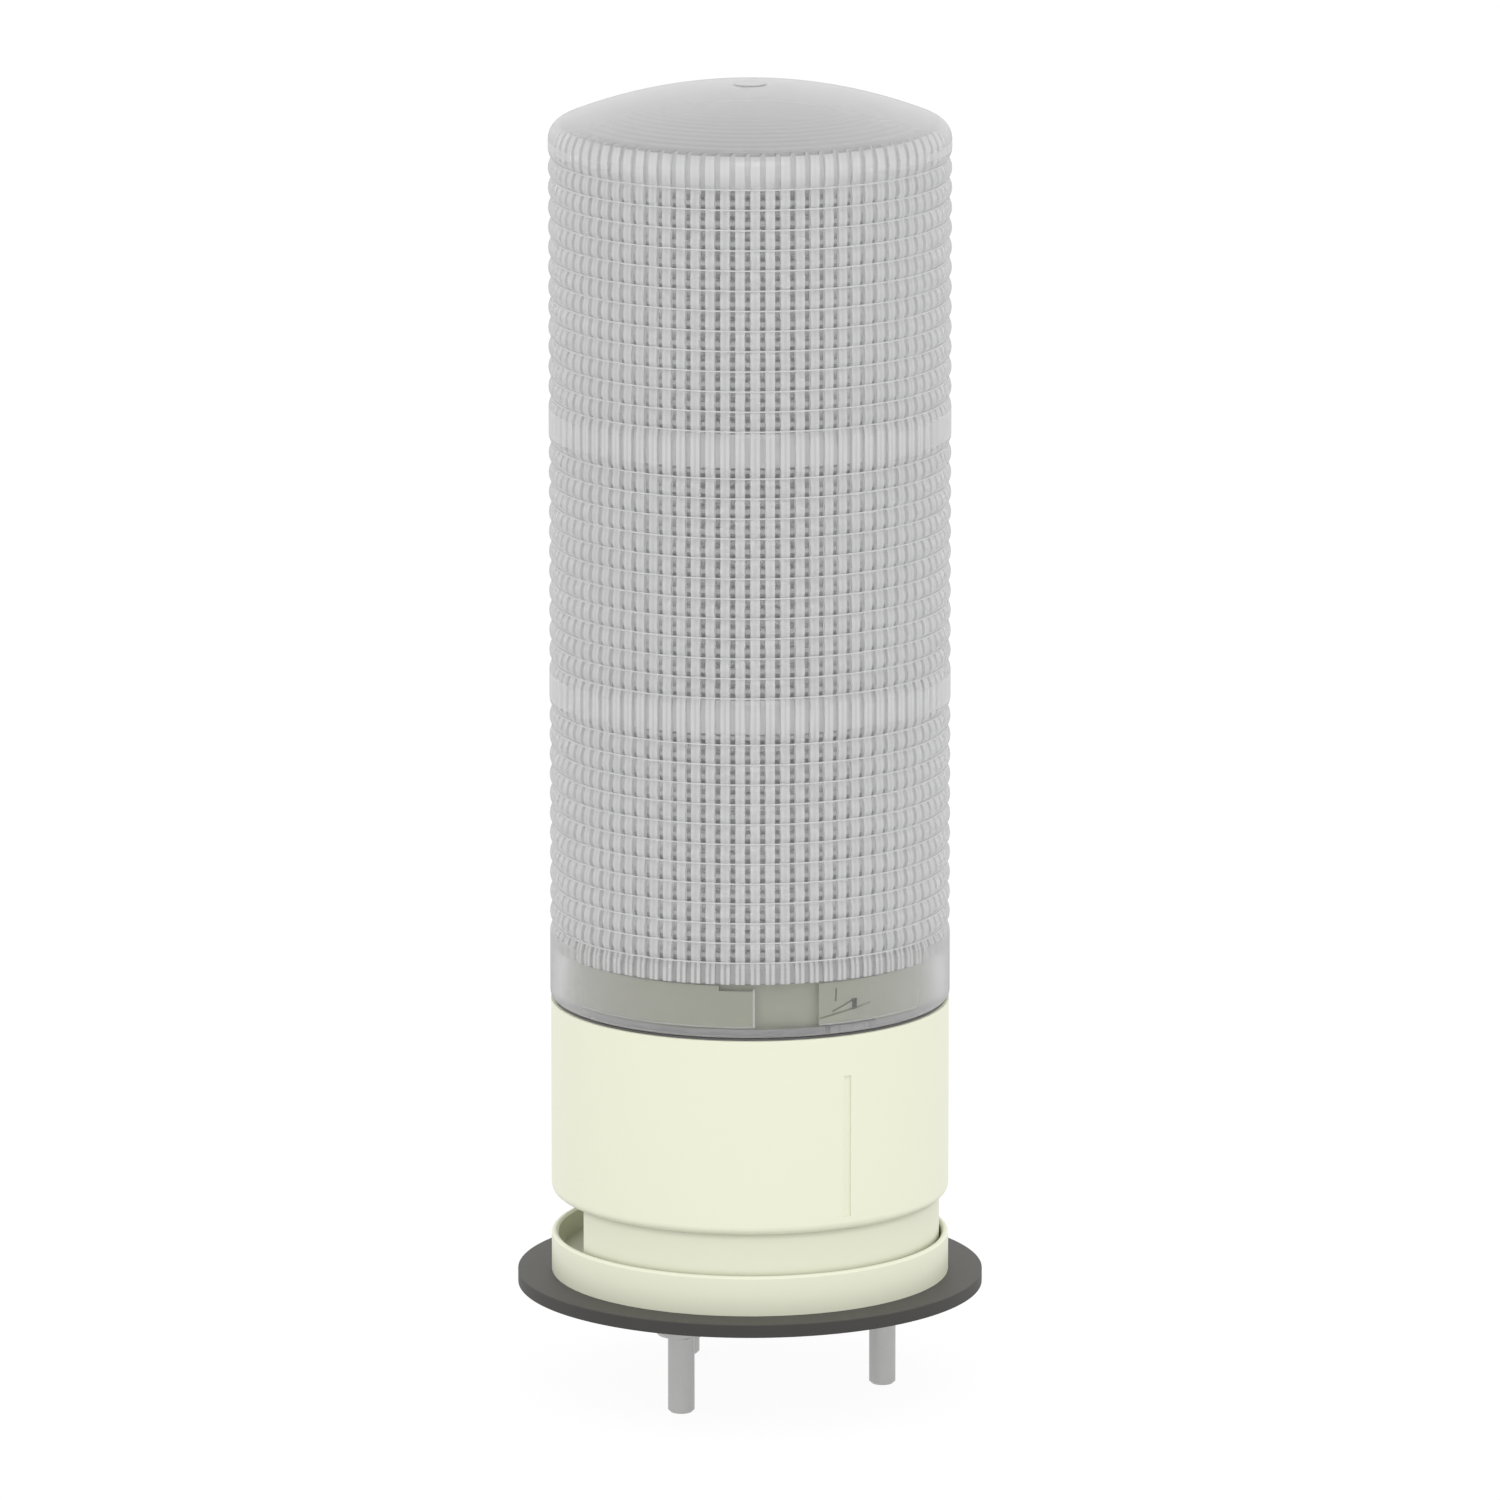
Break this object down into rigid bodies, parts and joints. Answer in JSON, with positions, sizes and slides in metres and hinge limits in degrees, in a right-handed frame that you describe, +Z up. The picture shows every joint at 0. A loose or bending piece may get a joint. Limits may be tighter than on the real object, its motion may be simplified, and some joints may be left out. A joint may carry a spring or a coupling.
{
  "type": "stack light",
  "caption": "Round signal tower for a machine: a clear ribbed lens over stacked lights, twisted on to a cream base with a gasket and mounting studs.",
  "frame": {"origin": "centre of the rubber gasket's underside, which lies on the machine's panel", "axes": "+Z up the tower's axis, away from the panel; -Y towards the front, where the body has its alignment groove"},
  "size_m": [0.07, 0.07, 0.1989],
  "materials": {
    "housing": "cream, smooth satin gloss",
    "gasket_rubber": "dark grey, matt",
    "plated_steel": "plated steel, satin",
    "circuit_board": "green solder mask",
    "green_plastic": "moulded terminal housing",
    "capacitor_sleeve": "dark shrink sleeve",
    "black_plastic": "moulded black",
    "led_package": "pale phosphor",
    "white_plastic": "moulded white",
    "milky_plastic": "milky diffusing plastic",
    "clear_plastic": "clear moulding, ribbed and fluted"
  },
  "bodies": {
    "base": {"mounting_gasket": "gasket_rubber", "base_flange": "housing", "mounting_studs": "plated_steel", "stud_washers": "plated_steel", "stud_nuts": "plated_steel", "flange_screws": "plated_steel", "base_body": "housing", "cable_grommet": "gasket_rubber", "main_board": "circuit_board", "board_screws": "plated_steel", "terminal_block": "green_plastic", "capacitors": "capacitor_sleeve", "driver_chips": "black_plastic", "board_sockets": "black_plastic", "bayonet_chassis": "housing", "chassis_screws": "plated_steel", "lens_seal": "gasket_rubber", "board_carrier": "white_plastic", "carrier_screws": "plated_steel", "led_board_front": "circuit_board", "led_board_right": "circuit_board", "led_board_left": "circuit_board", "tier_1_leds": "led_package", "tier_2_leds": "led_package", "tier_3_leds": "led_package", "tier_1_diffuser": "milky_plastic", "tier_2_diffuser": "milky_plastic", "tier_3_diffuser": "milky_plastic", "tier_1_partition": "white_plastic", "tier_2_partition": "white_plastic", "tower_cap": "white_plastic", "cap_screw": "plated_steel"},
    "lens": {"lens_globe": "clear_plastic"}
  },
  "joints": [
    {"name": "lens_twist", "type": "hinge", "parent": "base", "child": "lens", "pos_m": [0, 0, 0.044], "axis": [0, 0, 1], "range_deg": [-20, 0]}
  ]
}
